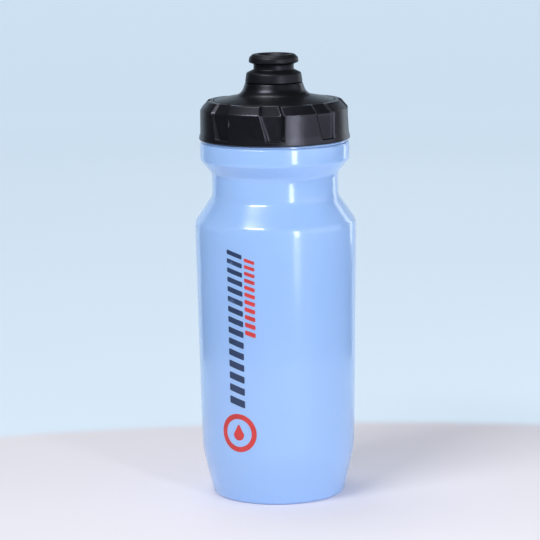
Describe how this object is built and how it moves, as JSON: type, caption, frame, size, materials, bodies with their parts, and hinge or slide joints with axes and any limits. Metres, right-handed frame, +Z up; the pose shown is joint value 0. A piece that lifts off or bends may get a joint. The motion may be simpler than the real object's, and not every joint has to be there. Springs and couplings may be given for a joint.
{
  "type": "sports squeeze bottle",
  "caption": "Squeezable round drinking bottle with a cage waist, a screw cap with slanted grip notches and a soft domed top, and a push-pull drinking nozzle.",
  "frame": {"origin": "centre of the base, on the plane the bottle stands on", "axes": "+Z up along the bottle's axis towards the nozzle; -Y towards the printed front"},
  "size_m": [0.074, 0.074, 0.204],
  "materials": {
    "bottle_plastic": "satin squeezable plastic",
    "cap_plastic": "satin black moulded plastic",
    "dome_skin": "soft-touch black skin",
    "gasket_rubber": "soft pale seal",
    "post_plastic": "satin black moulded plastic",
    "seal_rubber": "soft dark seal",
    "core_plastic": "satin black moulded plastic",
    "nozzle_skin": "soft-touch black skin"
  },
  "bodies": {
    "bottle": {"bottle_body": "bottle_plastic"},
    "lifting_seal": {"cap_gasket": "gasket_rubber"},
    "cap": {"cap_body": "cap_plastic", "dome_cover": "dome_skin", "spout_post": "post_plastic", "post_seal_ring": "seal_rubber"},
    "nozzle": {"nozzle_core": "core_plastic", "nozzle_sleeve": "nozzle_skin"}
  },
  "joints": [
    {"name": "cap_lift", "type": "slide", "parent": "bottle", "child": "lifting_seal", "axis": [0, 0, 1], "range_m": [0, 0.0181]},
    {"name": "cap_turn", "type": "hinge", "parent": "lifting_seal", "child": "cap", "pos_m": [0, 0, 0.1653], "axis": [0, 0, 1], "range_deg": [0, 1440]},
    {"name": "nozzle_pull", "type": "slide", "parent": "cap", "child": "nozzle", "axis": [0, 0, 1], "range_m": [0, 0.006]}
  ],
  "couplings": [
    {"joint": "cap_lift", "follows": "cap_turn", "m_per_rad": 0.0007162}
  ]
}
